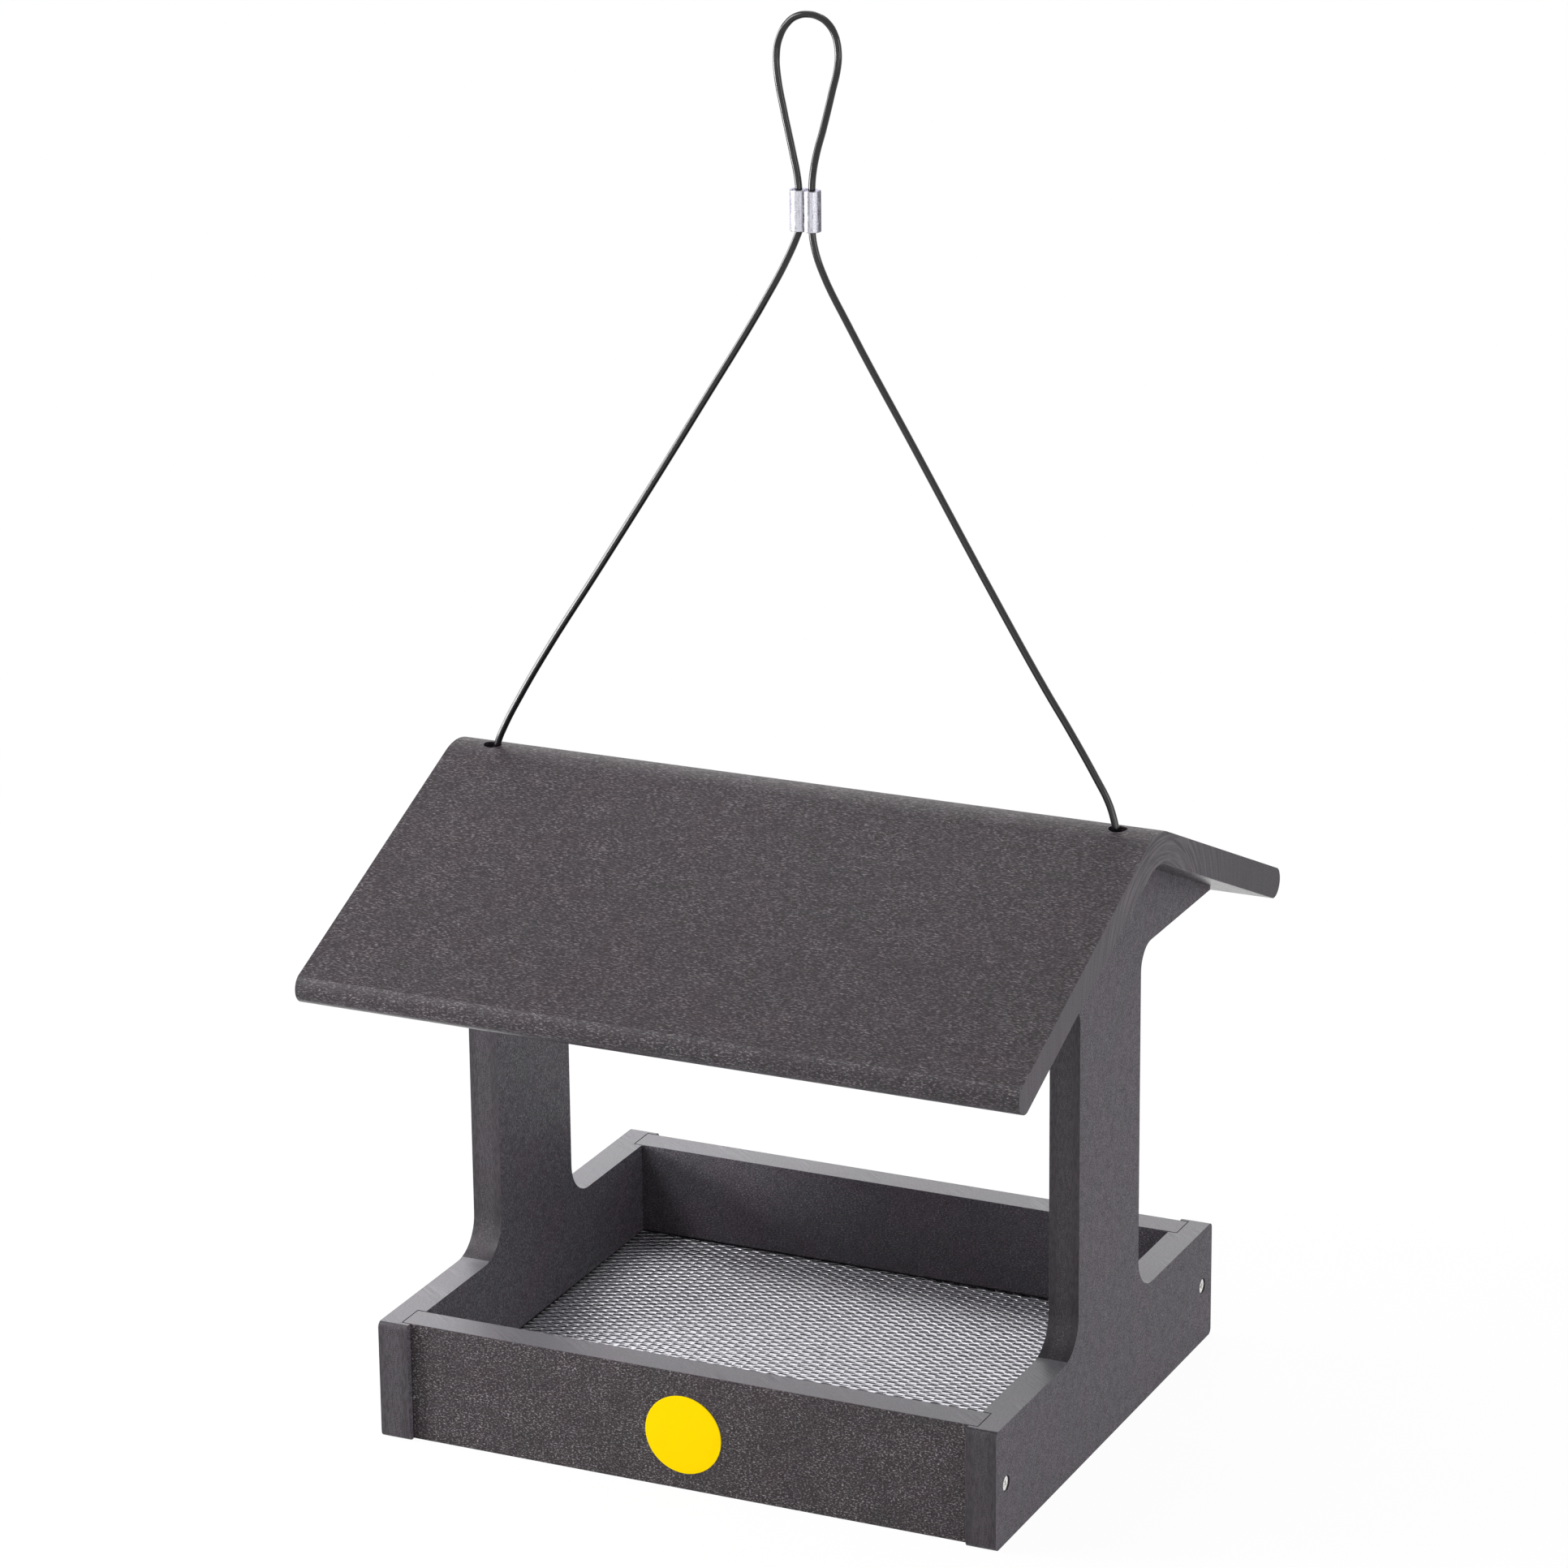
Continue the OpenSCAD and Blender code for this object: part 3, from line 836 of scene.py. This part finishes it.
def makeLabel():
    low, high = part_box("front_label")
    centreX, centreZ = (low.x + high.x) / 2, (low.z + high.z) / 2
    radius, thick = (high.x - low.x) / 2, high.y - low.y
    sides = labelShape["sides"]
    rings = [(radius * 0.5, 0.0)] + [(radius - inset, depth) for inset, depth in labelShape["rim"]]
    angles = [2 * math.pi * side / sides for side in range(sides)]
    shell = bmesh.new()
    loops = []
    for reach, depth in rings:
        loops.append([shell.verts.new((centreX + reach * math.cos(angle), low.y + thick * depth,
                                       centreZ + reach * math.sin(angle))) for angle in angles])
    middle = shell.verts.new((centreX, low.y, centreZ))
    for side in range(sides):
        after = (side + 1) % sides
        shell.faces.new((middle, loops[0][side], loops[0][after]))
        for inner, outer in zip(loops, loops[1:]):
            shell.faces.new((inner[side], outer[side], outer[after], inner[after]))
    shell.faces.new(list(loops[-1]))
    bmesh.ops.recalc_face_normals(shell, faces=shell.faces)
    piece = fromShell("roundLabel", shell, [labelVinyl])
    keepFlat(piece)
    freeze(piece)
    declare(piece, "front_label")


makeLabel()
print("small pieces made")


# floor, light, background
studio = dict(
    skyOnObject=0.25,
    lamps=[              # name, place, aimed at, width, watts
        ("keyLeft", (-1.05, -0.6, 0.32), (0, 0, 0.12), 0.3, 7.6),
        ("frontLow", (0.2, -2.2, 0.35), (0, 0, 0.1), 0.6, 1.5),
        ("sideLeft", (-1.6, -0.1, 0.6), (0, 0, 0.2), 0.8, 20),
        ("highLeft", (-0.75, -0.45, 1.0), (0, 0, 0.2), 0.5, 8),
        ("sideRight", (1.95, -0.35, 0.65), (0, 0, 0.2), 1.0, 10),
        ("lowRight", (1.3, -1.2, 0.2), (0, 0, 0.08), 0.5, 2),
        ("backLeft", (-1.2, 2.3, 1.05), (0, 0, 0.1), 1.4, 7),
        ("backHigh", (-0.6, 1.25, 1.85), (0, 0, 0.05), 1.1, 15),
        ("backRight", (0.5, 2.2, 0.9), (0, 0, 0.1), 1.0, 10),
        ("topSoft", (0.0, 0.2, 2.4), (0, 0, 0.2), 1.6, 6),
    ],
    floorSize=40.0,
    floorTone=0.98,
    floorGlow=0.96,      # share of the floor near the feeder that is plain white to the camera
    glowRise=(0.1, 0.8),    # metres from the tray over which that share grows to all
    paintedShadowUnderTray=0.15,      # painted shadow: how light the floor is made under the tray, seen through the mesh
    trayHalf=(0.158, 0.130),
)


def seenRays(tree):
    path = put(tree, "ShaderNodeLightPath").outputs
    seen = calc(tree, "MAXIMUM", path["Is Camera Ray"], path["Is Glossy Ray"])
    return calc(tree, "MAXIMUM", seen, path["Is Transmission Ray"])


def addSky():
    # plain white to the camera, dimmer to the feeder
    world = bpy.data.worlds.new("studio")
    world.use_nodes = True
    bpy.context.scene.world = world
    world.cycles.sampling_method = "NONE"
    tree = world.node_tree
    back = next(n for n in tree.nodes if n.type == "BACKGROUND")
    back.inputs["Color"].default_value = grey(1)
    sky = studio["skyOnObject"]
    strength = plus(tree, sky, times(tree, seenRays(tree), 1 - sky))
    tree.links.new(strength, back.inputs["Strength"])


def addLamps():
    for name, place, target, size, power in studio["lamps"]:
        data = bpy.data.lights.new(name, "AREA")
        data.shape = "SQUARE"
        data.size = size
        data.energy = power
        lamp = bpy.data.objects.new(name, data)
        lamp.location = place
        lamp.rotation_euler = (Vector(place) - Vector(target)).to_track_quat("Z", "Y").to_euler()
        bpy.context.scene.collection.objects.link(lamp)


def addGround():
    half = studio["floorSize"] / 2
    mesh = bpy.data.meshes.new("paleFloor")
    corners = [(-half, -half, 0), (half, -half, 0), (half, half, 0), (-half, half, 0)]
    mesh.from_pydata(corners, [], [(0, 1, 2, 3)])
    material, tree, shader, place = newMaterial("paleFloor")
    tree.nodes.remove(shader)
    parts = axesOf(tree, place)
    past = [minus(tree, calc(tree, "ABSOLUTE", parts[axis]), reach)
            for axis, reach in enumerate(studio["trayHalf"])]
    beyond = calc(tree, "MAXIMUM", *past)
    outdoors = calc(tree, "GREATER_THAN", beyond, 0.0)
    # painted shadow: the floor under the tray gets a dark colour
    color = mixColor(tree, outdoors, grey(studio["paintedShadowUnderTray"]), grey(studio["floorTone"]))
    matte = put(tree, "ShaderNodeBsdfDiffuse", {"Color": color}).outputs[0]
    glow = put(tree, "ShaderNodeEmission", {"Color": grey(1), "Strength": 1.0}).outputs[0]
    glowing = remap(tree, beyond, *studio["glowRise"], studio["floorGlow"], 1.0)
    share = times(tree, times(tree, seenRays(tree), outdoors), glowing)
    mixed = put(tree, "ShaderNodeMixShader", {0: share, 1: matte, 2: glow}).outputs[0]
    surface = next(n for n in tree.nodes if n.type == "OUTPUT_MATERIAL").inputs["Surface"]
    tree.links.new(mixed, surface)
    ground = toPiece("paleFloor", mesh, [material])


addSky()
addLamps()
addGround()
bpy.context.scene.view_settings.view_transform = "Standard"
print("studio set")
